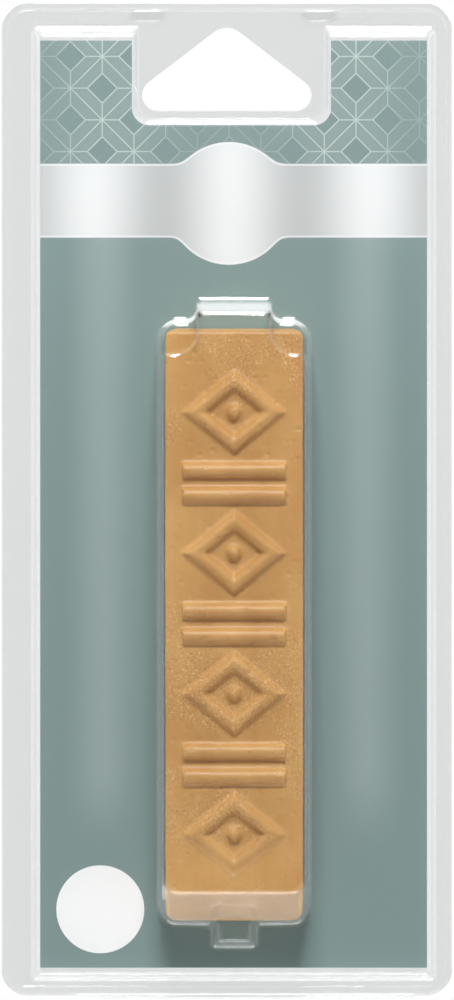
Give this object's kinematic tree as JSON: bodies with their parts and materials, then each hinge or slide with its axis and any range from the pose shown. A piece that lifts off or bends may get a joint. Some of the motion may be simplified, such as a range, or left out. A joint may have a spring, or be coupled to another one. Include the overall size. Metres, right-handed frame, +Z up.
{
  "type": "hanging clamshell pack with wax filler stick",
  "caption": "Bar of hard filler wax for furniture repair, closed in a clear hinged clamshell with a printed card and a hang hole for a peg hook.",
  "frame": {"origin": "top of the hang hole, where a peg hook bears, on the plane where the two shells meet", "axes": "+Z up along the hanging pack, +X to the right seen from the front, front facing -Y"},
  "size_m": [0.0856, 0.0217, 0.1893],
  "materials": {
    "clear_sheet": "clear thermoformed sheet, glossy",
    "card_print": "coated card, grey-green print with silver foil band",
    "label_paper": "white paper sticker",
    "wax": "hard wax, satin, light oak"
  },
  "bodies": {
    "rear": {"rear_shell": "clear_sheet", "living_hinge": "clear_sheet", "printed_card": "card_print", "shade_label": "label_paper"},
    "front": {"front_shell": "clear_sheet"},
    "stick": {"wax_stick": "wax"}
  },
  "joints": [
    {"name": "front_open", "type": "hinge", "parent": "rear", "child": "front", "pos_m": [0, 0, -0.18385], "axis": [1, 0, 0], "range_deg": [0, 180], "deforming": ["living_hinge"]},
    {"name": "stick_lift", "type": "slide", "parent": "front", "child": "stick", "axis": [0, 1, 0], "range_m": [0, 0.038]}
  ],
  "couplings": [
    {"joint": "stick_lift", "follows": "front_open", "m_per_rad": 0.012}
  ]
}
